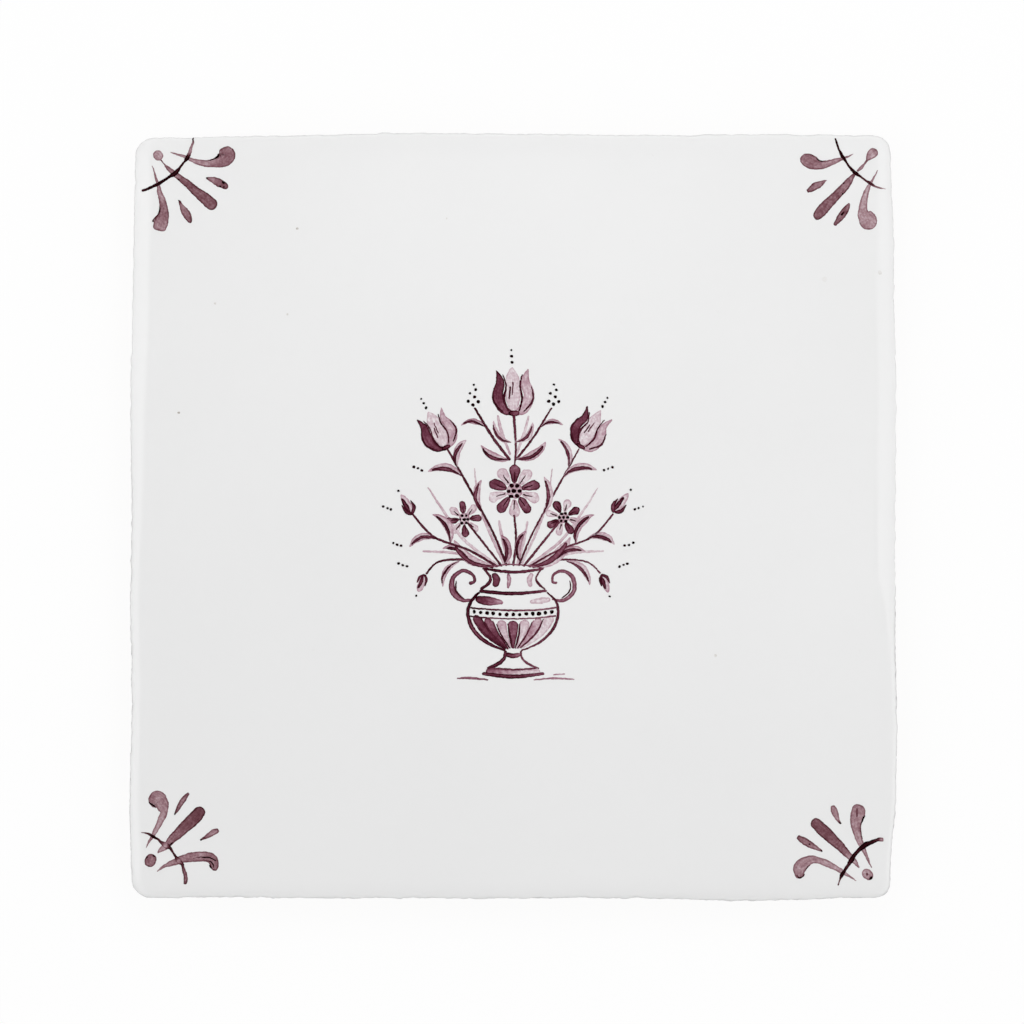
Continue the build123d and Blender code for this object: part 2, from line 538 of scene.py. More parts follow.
corner_ornament("corner_upper_left", -1, 1, [
    # Dot and its neck
    dab([(4.3, 3.2, 0.81), (4.9, 3.8, 0.84), (5.5, 4.5, 0.8)], 0.5),
    dab([(5.3, 4.5, 0.14), (5.8, 5.1, 0.11), (6.2, 5.6, 0.14)], 0.75, layer=washes),
    # Long dab
    dab([(6.1, 5.5, 0.17), (6.7, 6.1, 0.35), (7.5, 6.8, 0.45), (8.3, 7.4, 0.51), (9.1, 8.0, 0.59),
         (10.0, 8.7, 0.66), (11.3, 9.9, 0.81), (12.6, 10.9, 0.98), (13.4, 11.6, 1.07), (14.0, 12.1, 1.05),
         (14.7, 12.7, 1.01)], (0.7, 0.7, 0.65, 0.75, 0.9, 1, 1, 1, 1, 1, 1)),
    pool([(8.3, 7.8, 0.15), (8.6, 8.1, 0.15)], 1.5),
    # Hook along the top, and the colour that pooled inside its bend
    dab([(7.0, 3.3, 0.07), (8.3, 3.7, 0.18), (9.3, 4.0, 0.27), (10.4, 4.5, 0.31), (11.5, 4.9, 0.45),
         (12.9, 5.2, 0.59), (14.2, 5.1, 0.76), (15.2, 4.9, 1.04), (16.0, 4.5, 1.33), (16.6, 3.8, 1.45),
         (16.3, 3.1, 1.21), (16.0, 2.4, 0.87)], (0.5, 0.5, 0.5, 0.5, 0.55, 0.6, 0.65, 0.75, 0.85, 0.85, 0.8,
         0.8), roundness=0.45),
    pool([(13.4, 4.7, 0.06), (14.2, 4.5, 0.13), (14.7, 4.2, 0.18), (15.1, 3.9, 0.21), (15.2, 3.5, 0.1)],
          (1.2, 2.0, 2.4, 2.4, 1.4)),
    # Hook down the side
    dab([(3.9, 5.6, 0.06), (4.3, 6.7, 0.13), (4.6, 7.9, 0.21), (5.0, 9.1, 0.31), (5.2, 10.2, 0.45),
         (5.6, 11.3, 0.59), (5.8, 12.4, 0.7), (5.9, 13.4, 0.84), (5.7, 14.4, 1.09), (5.4, 15.2, 1.26),
         (5.2, 15.9, 1.15), (5.0, 16.6, 0.98)], (0.45, 0.5, 0.55, 0.55, 0.55, 0.65, 0.75, 0.85, 0.8, 0.7,
         0.65, 0.7), roundness=0.35),
    pool([(5.2, 12.4, 0.06), (5.2, 12.9, 0.13), (5.1, 13.4, 0.11), (4.8, 14.0, 0.1), (4.2, 14.6, 0.1),
          (4.0, 15.1, 0.14)], (1.0, 2.0, 1.6, 1.2, 1.0, 1.6)),
    # Two drops with their dark spots
    dab([(13.1, 7.6, 0.17), (13.7, 7.8, 0.39), (14.5, 8.1, 0.63), (15.3, 8.5, 0.72), (16.1, 8.9, 0.62),
         (16.7, 9.4, 0.36)], (1.0, 0.6, 0.75, 0.9, 1.0, 0.9)),
    pool([(13.0, 7.6, 0.17), (13.3, 7.7, 0.15)], 2.2),
    pool([(15.7, 8.2, 0.18), (16.0, 8.4, 0.25), (16.2, 8.6, 0.15)], 2.4),
    pool([(15.2, 9.0, 0.14), (15.6, 9.2, 0.15)], 2.2),
    pool([(15.9, 9.1, 0.18), (16.2, 9.2, 0.17)], 2.4),
    dab([(8.4, 11.4, 0.14), (8.8, 12.2, 0.31), (9.3, 13.1, 0.62), (9.8, 13.9, 0.7), (10.2, 14.7, 0.49),
         (10.4, 15.3, 0.21)], (1.2, 0.65, 0.7, 0.8, 0.9, 1.1)),
    pool([(8.3, 11.4, 0.14), (8.6, 11.6, 0.14)], 1.6),
    # Arc across the tails
    dab([(2.1, 9.8, 0.2), (3.1, 9.5, 0.22), (4.4, 8.9, 0.27), (4.9, 8.7, 0.31), (6.0, 8.0, 0.25),
         (6.9, 7.4, 0.28), (7.7, 6.9, 0.44), (8.5, 6.0, 0.25), (8.9, 5.5, 0.2), (9.3, 5.0, 0.18),
         (9.8, 4.3, 0.39), (10.2, 3.5, 0.31), (10.5, 2.5, 0.24), (10.8, 1.6, 0.17), (10.8, 1.0, 0.14),
         (10.9, 0.6, 0.06)], (1.4, 1.7, 2.0, 2.2, 2.0, 2.2, 2.3, 1.7, 1.5, 1.5, 2.4, 0.6, 0.55, 0.7, 1.6,
         0.6), layer=lines, roundness=0.7),
])

corner_ornament("corner_upper_right", 1, 1, [
    # Dot and its neck
    dab([(6.8, 6.5, 0.21), (6.1, 5.9, 0.27), (5.6, 5.3, 0.2), (5.1, 4.7, 0.2), (4.8, 4.2, 0.53),
         (4.4, 3.7, 0.81), (3.9, 3.2, 0.84), (3.5, 2.8, 0.59)], (0.6, 0.5, 0.55, 0.7, 0.65, 0.5, 0.55, 0.8),
         roundness=0.8),
    # Long dab
    dab([(7.2, 7.0, 0.25), (7.8, 7.7, 0.48), (8.3, 8.4, 0.65), (9.3, 9.6, 0.76), (10.6, 10.9, 0.81),
         (11.8, 12.1, 0.93), (12.8, 13.2, 0.98), (13.5, 14.0, 0.81), (14.0, 14.5, 0.51)], (0.75, 0.7, 0.78,
         0.86, 0.9, 0.9, 0.95, 0.95, 1), roundness=0.7),
    pool([(9.1, 8.4, 0.14), (8.9, 8.6, 0.14)], 2.0),
    pool([(9.3, 10.5, 0.15), (9.1, 10.2, 0.15)], 2.0),
    # Hook along the top
    dab([(7.4, 3.6, 0.07), (8.3, 4.0, 0.15), (9.1, 4.3, 0.25), (10.0, 4.6, 0.38), (11.1, 5.0, 0.53),
         (12.4, 5.4, 0.66), (13.4, 5.4, 0.9), (14.4, 5.0, 1.23), (15.3, 4.6, 1.18), (16.4, 4.3, 0.84)], (0.5,
         0.5, 0.55, 0.55, 0.6, 0.65, 0.75, 0.85, 0.8, 0.7)),
    pool([(13.7, 4.2, 0.06), (13.3, 4.6, 0.11), (12.7, 4.8, 0.1), (12.0, 4.7, 0.04)], (1, 1.8, 1.8, 0.8)),
    # Hook down the side
    dab([(3.3, 6.3, 0.06), (3.8, 7.3, 0.13), (4.3, 8.2, 0.21), (4.9, 9.3, 0.36), (5.4, 10.6, 0.53),
         (5.7, 12.0, 0.67), (5.8, 13.0, 0.79), (5.7, 13.7, 1.12), (5.2, 14.4, 1.49), (4.9, 15.0, 1.57),
         (4.8, 16.4, 1.4)], (0.45, 0.45, 0.5, 0.5, 0.5, 0.5, 0.55, 0.55, 0.55, 0.55, 0.6)),
    # Two drops
    dab([(11.9, 8.0, 0.06), (12.6, 8.4, 0.36), (13.3, 8.8, 0.59), (14.0, 9.1, 0.66), (14.7, 9.6, 0.48),
         (15.3, 9.9, 0.28)], (0.5, 0.7, 0.8, 0.8, 0.9, 0.9), roundness=0.5),
    dab([(8.1, 11.9, 0.11), (8.4, 12.5, 0.42), (8.9, 13.3, 0.62), (9.6, 14.3, 0.59), (10.3, 15.2, 0.36),
         (10.6, 15.7, 0.25)], (0.55, 0.7, 1, 0.9, 0.85, 0.8), roundness=0.5),
    pool([(8.9, 13.2, 0.08), (9.2, 13.6, 0.18), (9.5, 14.0, 0.21)], (0.9, 1.8, 2.4)),
    # Arc across the tails
    dab([(10.5, 0.9, 0.13), (10.3, 1.4, 0.17), (10.1, 2.1, 0.18), (9.8, 3.0, 0.19), (9.3, 3.9, 0.31),
         (8.9, 4.5, 0.24), (8.2, 5.6, 0.19), (7.4, 6.5, 0.31), (6.8, 7.0, 0.31), (6.1, 7.5, 0.18),
         (5.3, 8.1, 0.19), (4.6, 8.5, 0.25), (3.8, 9.0, 0.18), (3.0, 9.3, 0.14), (1.9, 9.5, 0.06)], (1.4,
         1.7, 1.6, 1.5, 2.2, 1.9, 1.4, 2.1, 2.2, 1.1, 1.0, 1.4, 0.8, 0.5, 0.3), layer=lines, roundness=0.7),
])

corner_ornament("corner_lower_left", -1, -1, [
    # Dot with three dark spots
    dab([(3.2, 5.8, 0.93), (3.6, 6.8, 0.98), (4.1, 7.9, 0.93)], 0.85, roundness=1.05),
    pool([(4.0, 7.7, 0.14), (4.4, 7.5, 0.14)], 1.8),
    pool([(2.8, 7.2, 0.11), (3.2, 7.5, 0.11)], 1.6),
    pool([(3.2, 5.9, 0.13), (3.5, 5.8, 0.13)], 1.6),
    # Long dab
    dab([(4.8, 8.1, 0.14), (5.3, 8.6, 0.36), (5.9, 9.0, 0.53), (6.6, 9.7, 0.59), (7.4, 10.6, 0.76),
         (8.3, 11.4, 0.87), (9.1, 12.2, 0.98), (10.5, 13.5, 1.12), (11.4, 14.4, 1.12), (11.9, 15.0, 1.04),
         (12.6, 15.7, 0.95)], (0.5, 0.5, 0.55, 0.75, 0.85, 0.95, 1.05, 1.15, 1.2, 1.2, 1.15)),
    pool([(6.5, 9.3, 0.07), (7.0, 9.6, 0.13), (7.4, 10.0, 0.07)], 1.8),
    # Hook up the side, and the colour that pooled inside its bend
    dab([(2.9, 9.0, 0.06), (3.3, 9.9, 0.17), (3.8, 10.7, 0.28), (4.3, 11.6, 0.38), (4.9, 12.7, 0.48),
         (5.4, 13.8, 0.59), (5.7, 14.4, 0.63), (5.9, 15.0, 0.65), (5.8, 15.6, 0.93), (5.6, 16.3, 1.21),
         (5.2, 16.8, 1.4), (4.9, 17.1, 1.57), (3.5, 17.9, 1.43)], (0.5, 0.55, 0.55, 0.5, 0.5, 0.5, 0.55, 0.6,
         0.65, 0.7, 0.7, 0.65, 0.7)),
    pool([(3.3, 16.8, 0.08), (3.6, 16.5, 0.15), (4.1, 16.2, 0.17), (4.5, 15.9, 0.08)], (1.6, 2.2, 2.4, 1.4)),
    # Hook along the bottom, with three dark bristle lines
    dab([(4.7, 5.0, 0.06), (5.8, 5.8, 0.25), (6.9, 6.3, 0.46), (8.0, 6.7, 0.59), (9.1, 7.1, 0.7),
         (10.5, 7.4, 0.83), (11.8, 7.5, 0.88), (13.1, 7.5, 0.9), (14.0, 7.1, 0.93), (14.4, 6.4, 0.8),
         (14.4, 5.7, 0.7), (14.2, 5.2, 0.59)], (0.5, 0.55, 0.6, 0.65, 0.7, 0.7, 0.7, 0.75, 0.8, 0.8, 0.8,
         0.9), roundness=0.6),
    pool([(10.8, 7.2, 0.06), (11.8, 7.4, 0.08), (12.8, 7.4, 0.13), (13.7, 7.3, 0.13), (14.5, 6.9, 0.11),
          (14.7, 6.7, 0.06)], (0.8, 1.2, 2.0, 1.8, 2.0, 1.0)),
    pool([(12.5, 7.0, 0.06), (13.3, 6.8, 0.08), (14.0, 6.5, 0.11), (14.3, 6.0, 0.1), (14.3, 5.6, 0.06)],
          (0.8, 1.2, 1.8, 1.6, 0.8)),
    pool([(13.6, 6.2, 0.1), (13.8, 5.7, 0.14), (14.1, 5.4, 0.11)], 2),
    # Two drops with dark points
    dab([(7.7, 14.6, 0.11), (8.2, 15.5, 0.32), (8.7, 16.4, 0.45), (9.4, 17.4, 0.42), (10.1, 18.3, 0.21)],
         (1.2, 0.9, 0.85, 0.85, 0.9), roundness=0.7),
    pool([(7.6, 14.7, 0.2), (7.9, 14.8, 0.2)], 2.4),
    dab([(12.0, 10.3, 0.13), (12.8, 10.7, 0.28), (13.6, 11.2, 0.46), (14.4, 11.7, 0.51), (15.2, 12.0, 0.34)],
         (1.2, 0.8, 0.65, 0.65, 0.9), roundness=0.8),
    pool([(12.0, 10.3, 0.18), (12.3, 10.4, 0.18)], 2.4),
    # Arc across the tails
    dab([(2.0, 11.6, 0.06), (2.8, 11.5, 0.14), (3.6, 11.2, 0.22), (4.2, 10.8, 0.25), (4.9, 10.4, 0.18),
         (5.5, 9.9, 0.27), (6.2, 9.4, 0.53), (6.9, 9.0, 0.32), (7.3, 8.4, 0.2), (7.9, 7.5, 0.25),
         (8.4, 6.8, 0.53), (9.0, 6.2, 0.28), (9.2, 5.4, 0.29), (9.5, 4.5, 0.34), (9.6, 3.6, 0.35),
         (9.4, 2.8, 0.27)], (0.5, 1.0, 1.5, 2.4, 1.1, 1.1, 0.6, 1.8, 1.1, 1.4, 0.55, 1.3, 0.95, 0.85, 0.85,
         1.0), layer=lines, roundness=0.7),
])

corner_ornament("corner_lower_right", 1, -1, [
    # Dot with a dark heart and corner
    dab([(5.8, 5.2, 0.79), (5.0, 4.5, 0.87), (4.3, 3.7, 0.7)], (0.5, 0.5, 0.8), roundness=1.1),
    pool([(4.7, 3.6, 0.18), (4.4, 3.9, 0.25), (4.2, 4.1, 0.15)], 2.2),
    pool([(5.3, 4.6, 0.25), (4.9, 4.5, 0.25)], 0.75),
    # Long dab
    dab([(6.4, 5.6, 0.08), (6.8, 6.1, 0.25), (7.2, 6.7, 0.42), (8.0, 7.5, 0.56), (8.8, 8.3, 0.67),
         (9.7, 9.3, 0.8), (10.8, 10.3, 0.94), (11.8, 11.3, 1.05), (12.7, 12.1, 1.08), (13.4, 12.8, 1.0),
         (14.4, 13.7, 0.87)], (0.5, 0.55, 0.55, 0.6, 0.85, 1.0, 1.05, 1.1, 1.1, 1.1, 1.05), roundness=0.9),
    # Hook up the side, and the colour that pooled inside its bend
    dab([(4.3, 5.6, 0.06), (4.8, 6.6, 0.18), (5.2, 7.6, 0.28), (5.7, 8.7, 0.39), (6.1, 9.6, 0.51),
         (6.5, 10.5, 0.6), (6.8, 11.8, 0.76), (7.0, 13.0, 0.95), (6.8, 14.1, 1.18), (6.6, 14.9, 1.26),
         (6.5, 15.6, 1.15), (6.3, 16.3, 0.87)], (0.5, 0.5, 0.5, 0.5, 0.5, 0.55, 0.6, 0.6, 0.6, 0.65, 0.65,
         0.7), roundness=0.5),
    pool([(5.4, 14.5, 0.07), (5.7, 14.1, 0.15), (5.9, 13.6, 0.17), (6.1, 13.0, 0.08), (6.2, 12.3, 0.06),
          (6.1, 11.4, 0.07), (5.9, 10.4, 0.07)], (1.0, 2.4, 2.4, 1.4, 1.2, 1.2, 1.0)),
    pool([(6.8, 15.7, 0.11), (6.8, 15.0, 0.2), (6.8, 14.2, 0.11)], 0.75),
    # Hook along the bottom
    dab([(6.9, 3.4, 0.06), (7.8, 4.0, 0.17), (8.6, 4.5, 0.28), (9.4, 5.0, 0.39), (10.6, 5.7, 0.48),
         (12.0, 6.4, 0.58), (13.4, 6.9, 0.56), (14.5, 7.0, 0.74), (15.6, 6.5, 1.01), (16.4, 5.7, 1.18),
         (16.6, 4.9, 0.98), (16.4, 3.8, 0.65)], (0.45, 0.5, 0.5, 0.5, 0.5, 0.5, 0.55, 0.6, 0.6, 0.6, 0.65,
         0.75), roundness=0.8),
    pool([(17.0, 4.4, 0.07), (16.7, 4.0, 0.11), (16.4, 3.9, 0.13), (15.9, 4.2, 0.11), (15.7, 4.6, 0.07)], (1,
          1.5, 1.7, 1.4, 1.0)),
    pool([(15.5, 5.2, 0.07), (15.2, 5.7, 0.11), (14.8, 6.1, 0.07)], 1.3),
    # Two drops with dark points
    dab([(9.5, 13.0, 0.13), (10.0, 13.7, 0.29), (10.4, 14.6, 0.53), (10.7, 15.4, 0.58), (11.0, 16.2, 0.28)],
         (1.6, 0.5, 0.6, 0.6, 0.75), roundness=0.8),
    pool([(9.8, 13.3, 0.13), (9.5, 13.1, 0.13)], 1.5),
    dab([(12.6, 8.4, 0.13), (13.4, 8.8, 0.31), (14.5, 9.4, 0.56), (15.5, 10.0, 0.63), (16.3, 10.5, 0.53),
         (16.9, 10.9, 0.34)], (1.2, 0.6, 0.85, 0.85, 0.85, 0.9), roundness=0.5),
    pool([(12.9, 8.5, 0.15), (12.6, 8.4, 0.15)], 2),
    pool([(15.0, 9.7, 0.14), (14.7, 9.5, 0.14)], 1.3),
    # Arc across the tails
    dab([(10.0, 2.6, 0.11), (9.7, 3.6, 0.15), (9.3, 4.5, 0.36), (9.0, 5.0, 0.29), (8.4, 5.9, 0.28),
         (7.7, 7.0, 0.44), (7.4, 7.5, 0.39), (6.8, 8.3, 0.34), (6.0, 9.0, 0.41), (5.4, 9.5, 0.45),
         (4.5, 9.9, 0.38), (3.7, 10.2, 0.34), (3.2, 10.4, 0.32), (2.8, 10.4, 0.38), (2.3, 10.4, 0.34)], (0.9,
         0.9, 2.4, 2.2, 1.5, 2.4, 2.4, 1.8, 2.4, 2.4, 2.2, 1.7, 1.3, 0.6, 0.6), layer=lines, roundness=0.5),
])

# Flower vase
# The middle holds a common delft subject, a vase of flowers. The painter lays light washes first, then dark
# dabs, and last the thin outlines, veins and dots, all freehand. Places are in mm from the tile's middle.
hand = random.Random(11)
fine_manganese = fired_colour("fine_manganese", (0.22, 0.076, 0.114))


def stroke(spots, widths, load, layer=dabs):
    """A stroke through these spots with these half widths, as a hand puts them: a little off each time, and
    with the colour now thicker, now thinner. The load of colour is one for all spots, or one for each."""
    path, loads = [], []
    given = load if isinstance(load, tuple) else (load,) * len(spots)
    for spot, width, full in zip(spots, widths, given):
        spot += cmath.rect(0.1 * hand.random(), math.tau * hand.random())
        path.append((spot.real, spot.imag, width * hand.uniform(0.85, 1.15)))
        loads.append(full * hand.uniform(0.7, 1.05))
    return dab(path, tuple(loads), layer)


def both_sides(spots, widths, load, layer=dabs, shade=1.0):
    """The same stroke to the right and, mirrored and this much heavier, on the shaded left."""
    mirrored = [complex(-spot.real, spot.imag) for spot in spots]
    heavier = [shade * width for width in widths]
    return [stroke(spots, widths, load, layer), stroke(mirrored, heavier, shade * load, layer)]


def dot(centre, radius, load, layer=dots):
    return stroke([centre - radius, centre, centre + radius], [radius] * 3, load, layer)


def vase_strokes():
    """A footed vase with two handles, a ribbed bowl and a band of dots."""
    foot = [1.2 - 22.6j, 1.5 - 23.9j, 2.6 - 24.9j, 4.4 - 25.6j]
    strokes = [
        stroke([-4.6 - 26.1j, -26.4j, 4.6 - 26.1j], [0.5, 0.62, 0.5], (1.1, 0.4, 0.2), washes),
        stroke([-5.3 - 26.5j, -27.0j, 5.3 - 26.5j], [0.3, 0.36, 0.24], (1.7, 1.5, 1.0), lines),
        stroke([-4.4 - 25.5j, -25.8j, 4.4 - 25.5j], [0.15, 0.17, 0.13], 1.0, lines),
        *both_sides(foot, [0.15, 0.19, 0.21, 0.13], 1.0, lines, shade=1.5),
        stroke([-1.3 - 23.3j, -23.5j, 1.3 - 23.3j], [0.4, 0.5, 0.35], (1.7, 1.2, 0.6)),
    ]
    rib_load = (1.6, 1.2, 0.3, 1.0, 0.25, 0.5, 0.2)
    for rib, load in zip(range(-3, 4), rib_load):
        top = complex(2.0 * rib, -17.5 + 0.09 * rib * rib)
        base = complex(0.42 * rib, -22.3)
        belly = 0.45 * top + 0.55 * base + 0.32 * rib
        strokes.append(stroke([base, belly, top - 0.7j, top], [0.18, 0.62, 0.86, 0.7], load))
        strokes.append(stroke([base - 0.1, belly - 0.55, top - 0.85 - 0.6j], [0.1, 0.19, 0.08], 1.3, lines))
    bowl = [5.7 - 12.7j, 7.2 - 14.4j, 7.6 - 16.6j, 6.7 - 19.1j, 4.5 - 21.3j, 1.3 - 22.6j]
    strokes += both_sides(bowl, [0.14, 0.2, 0.24, 0.24, 0.2, 0.12], 1.1, lines, shade=1.5)
    for level, width in ((-16.75, 0.12), (-15.35, 0.15)):
        band = [complex(x, level - 0.5 * (1 - (x / 7.4) ** 2)) for x in (-7.3, -4, 0, 4, 7.3)]
        strokes.append(stroke(band, [width] * 5, (1.5, 1.2, 0.9, 0.7, 0.8), lines))
    for bead in range(-6, 7):
        strokes.append(dot(complex(1.1 * bead, -16.5 + 0.012 * bead * bead), 0.33, 2.9))
    neck = [5.5 - 12.3j, 4.2 - 11.3j, 3.9 - 10.2j, 4.9 - 8.8j]
    handle = [6.5 - 13.9j, 8.6 - 14.1j, 10.2 - 12.6j, 10.1 - 10.3j, 8.5 - 9.2j, 6.9 - 9.7j, 6.6 - 10.9j,
              7.5 - 11.3j]
    return strokes + [
        stroke([-6.4 - 13.9j, -4.4 - 14.2j, -1.6 - 14.4j], [0.5, 0.72, 0.3], (1.6, 1.2, 0.5), washes),
        stroke([6.3 - 13.9j, 4.6 - 14.2j, 2.8 - 14.4j], [0.4, 0.6, 0.25], 0.2, washes),
        stroke([-5.7 - 12.5j, -12.95j, 5.7 - 12.5j], [0.32, 0.34, 0.22], (1.8, 1.5, 1.0), lines),
        *both_sides(neck, [0.14, 0.18, 0.17, 0.13], 1.0, lines, shade=1.5),
        stroke([-3.1 - 11.9j, -2.9 - 10.6j, -3.4 - 9.5j], [0.4, 0.62, 0.4], 1.4, washes),
        stroke([3.0 - 11.9j, 2.8 - 10.6j, 3.2 - 9.5j], [0.3, 0.45, 0.3], 0.25, washes),
        stroke([-0.9 - 12.1j, -0.7 - 10.7j, -0.9 - 9.6j], [0.2, 0.38, 0.2], 0.6, washes),
        stroke([-5.2 - 8.7j, -9.3j, 5.2 - 8.7j], [0.24, 0.32, 0.2], (1.8, 1.6, 1.1), lines),
        stroke([-5.2 - 8.6j, -8.05j, 5.2 - 8.6j], [0.13, 0.14, 0.1], 0.8, lines),
        *both_sides(handle, [0.14, 0.3, 0.4, 0.36, 0.3, 0.22, 0.2, 0.26], 0.8, shade=1.25),
        *both_sides([8.2 - 13.8j, 9.6 - 12.5j, 9.6 - 10.7j], [0.1, 0.15, 0.08], 1.5, lines),
        stroke([-9.6 - 27.3j, -7.4 - 27.2j, -4.2 - 27.6j], [0.1, 0.2, 0.1], 0.7),
        stroke([3.4 - 27.6j, 7.0 - 27.3j, 10.4 - 27.5j], [0.1, 0.2, 0.1], 0.5),
        stroke([6.8 - 26.7j, 8.8 - 26.6j], [0.1, 0.14], 0.4),
    ]


def leaf(base, tip, bow, width, load):
    """One press of the brush from base to tip, bowed to one side, and a darker stroke on its shaded side."""
    tip += cmath.rect(0.6 * hand.random(), math.tau * hand.random())
    width *= hand.uniform(0.95, 1.25)
    shares = (0.0, 0.22, 0.48, 0.74, 0.9, 1.0)
    spine = [base + (tip - base) * complex(share, 4 * bow * share * (1 - share)) for share in shares]
    fatness = [width * fat for fat in (0.15, 0.7, 1.0, 0.82, 0.45, 0.1)]
    shade = [spot + 0.45 * fat * cmath.rect(1, math.radians(215)) for spot, fat in zip(spine, fatness)]
    dark = stroke(shade[:5], [0.5 * fat for fat in fatness[:5]], load + 0.8, pools)
    return [stroke(spine, fatness, 0.55 * load), dark]


def leaf_strokes():
    """The stems that rise from the vase's mouth, the leaves along them, and thin pale blades between."""
    strokes = [stroke([-8.3j, 0.5 - 4j, 0.2 + 0.4j], [0.2, 0.22, 0.18], 1.2),
               stroke([0.2 + 8.5j, 0.4 + 12j, 0.1 + 17.4j], [0.16, 0.2, 0.24], 1.2)]
    stems = (
        [1.0 - 8.3j, 3.4 - 2.6j, 7.6 + 5.2j, 11.2 + 11.6j],
        [1.8 - 8.4j, 4.4 - 5.2j, 8.0 - 0.6j],
        [2.6 - 8.5j, 7.6 - 5.6j, 13.4 - 3.4j, 17.0 + 0.6j],
        [3.2 - 8.6j, 8.0 - 7.2j, 12.6 - 7.6j, 14.8 - 9.6j],
        [0.4 + 9.6j, 3.4 + 13.4j, 6.6 + 18.6j],
    )
    for stem in stems:
        strokes += both_sides(stem, [0.21, 0.2, 0.17, 0.15], 1.1, shade=1.15)
    blades = (
        [1.4 - 8.2j, 4.6 - 1.0j, 6.0 + 3.6j, 6.6 + 8.2j],
        [2.4 - 8.4j, 8.2 - 4.0j, 12.4 + 1.8j, 14.4 + 5.0j],
        [0.6 - 8.2j, 1.7 - 4.4j, 2.4 - 0.6j],
        [3.0 - 8.5j, 9.4 - 6.2j, 15.4 - 5.8j],
        [0.5 + 10.4j, 2.0 + 14.6j, 2.6 + 17.2j],
    )
    for blade in blades:
        strokes += both_sides(blade, [0.2, 0.24, 0.17, 0.08], 0.2, washes, shade=1.1)
    leaves = (
        (0.4 + 9.8j, 5.4 + 12.2j, -0.16, 0.62, 0.6), (0.3 + 12.6j, 3.4 + 16.4j, -0.2, 0.5, 0.4),
        (8.6 + 6.8j, 14.0 + 7.4j, 0.2, 0.7, 0.5), (9.4 + 8.4j, 7.8 + 13.0j, -0.18, 0.6, 0.45),
        (5.4 + 0.9j, 5.2 + 6.4j, -0.15, 0.55, 0.5), (10.6 - 4.5j, 13.6 + 0.6j, 0.2, 0.62, 0.6),
        (12.6 - 3.7j, 17.6 - 4.8j, 0.22, 0.6, 0.5), (3.2 - 8.2j, 9.6 - 3.6j, -0.16, 0.85, 0.45),
        (7.4 - 7.2j, 12.2 - 5.4j, 0.2, 0.6, 0.7), (9.0 - 7.5j, 12.4 - 11.6j, 0.2, 0.5, 0.5),
        (4.6 + 15.2j, 8.8 + 15.6j, 0.2, 0.42, 0.6), (1.4 - 7.8j, 2.4 - 2.6j, 0.18, 0.6, 0.8),
    )
    for base, tip, bow, width, load in leaves:
        strokes += leaf(base, tip, bow, width, load)
        mirrored = [complex(-spot.real, spot.imag) for spot in (base, tip)]
        strokes += leaf(*mirrored, -bow, width, load * 1.2)
    return strokes


def tulip(base, turn, size):
    """Three washed petals, darker on the left, with edges drawn and a few lines."""
    def turned(*spots):
        return [base + size * spot * cmath.rect(1, math.radians(turn)) for spot in spots]

    def sized(*widths):
        return [size * width for width in widths]

    strokes = [stroke(turned(0.2j, 2.2j, 4.6j, 6.4j, 7.6j), sized(0.5, 1.2, 1.4, 0.85, 0.1), 0.2, washes)]
    for side, load in ((-1, 1.4), (1, 0.4)):
        petal = turned(0.1 * side, complex(1.7 * side, 0.9), complex(2.5 * side, 3.0),
                       complex(2.0 * side, 5.2), complex(2.6 * side, 7.2))
        strokes.append(stroke(petal, sized(0.3, 0.85, 0.95, 0.7, 0.08), load, dabs))
        edge = turned(complex(0.8 * side, 0.4), complex(1.5 * side, 2.4), complex(1.1 * side, 4.6),
                      complex(1.6 * side, 6.4))
        strokes.append(stroke(edge, sized(0.12, 0.2, 0.15, 0.08), 1.4, lines))
        outer = turned(complex(1.6 * side, 0.3), complex(3.2 * side, 2.2), complex(3.0 * side, 4.4))
        strokes.append(stroke(outer, sized(0.12, 0.19, 0.08), 1.4, lines))
    cup = turned(-0.9 + 0.1j, 0.1j, 0.9 + 0.1j)
    strokes += [stroke(turned(-0.1 + 3.0j, 0.1 + 5.2j), sized(0.1, 0.12), 1.0, lines),
                stroke(turned(-0.6 + 2.4j, -0.4 + 4.4j), sized(0.12, 0.14), 1.2, lines),
                stroke(cup, sized(0.3, 0.46, 0.3), (2.0, 1.6, 1.2), lines)]
    for bead in range(3):
        strokes.append(dot(turned(8.4j + 0.95j * bead)[0], 0.27 - 0.04 * bead, 2.6))
    return strokes


def rosette(centre, radius, petals, phase):
    """Round petals about a dotted heart, every other one dark."""
    strokes = []
    for petal in range(petals):
        way = radius * cmath.rect(1, phase + math.tau * petal / petals)
        load = 0.22 if petal % 2 else 1.3
        spots = [centre + share * way for share in (0.3, 0.5, 0.74, 0.9, 1.02)]
        widths = [radius * fat for fat in (0.07, 0.15, 0.21, 0.2, 0.12)]
        strokes.append(stroke(spots, widths, load, washes if petal % 2 else dabs))
        strokes.append(stroke([centre + 0.36 * way, centre + 0.74 * way], [0.14, 0.08], 1.5, lines))
    strokes.append(dot(centre, 0.3 * radius, 0.4, lines))
    for seed in range(6):
        spot = centre + cmath.rect(0.22 * radius, math.tau * seed / 6)
        strokes.append(dot(spot, 0.065 * radius + 0.07, 2.9))
    strokes.append(dot(centre, 0.08 * radius + 0.07, 2.9))
    return strokes


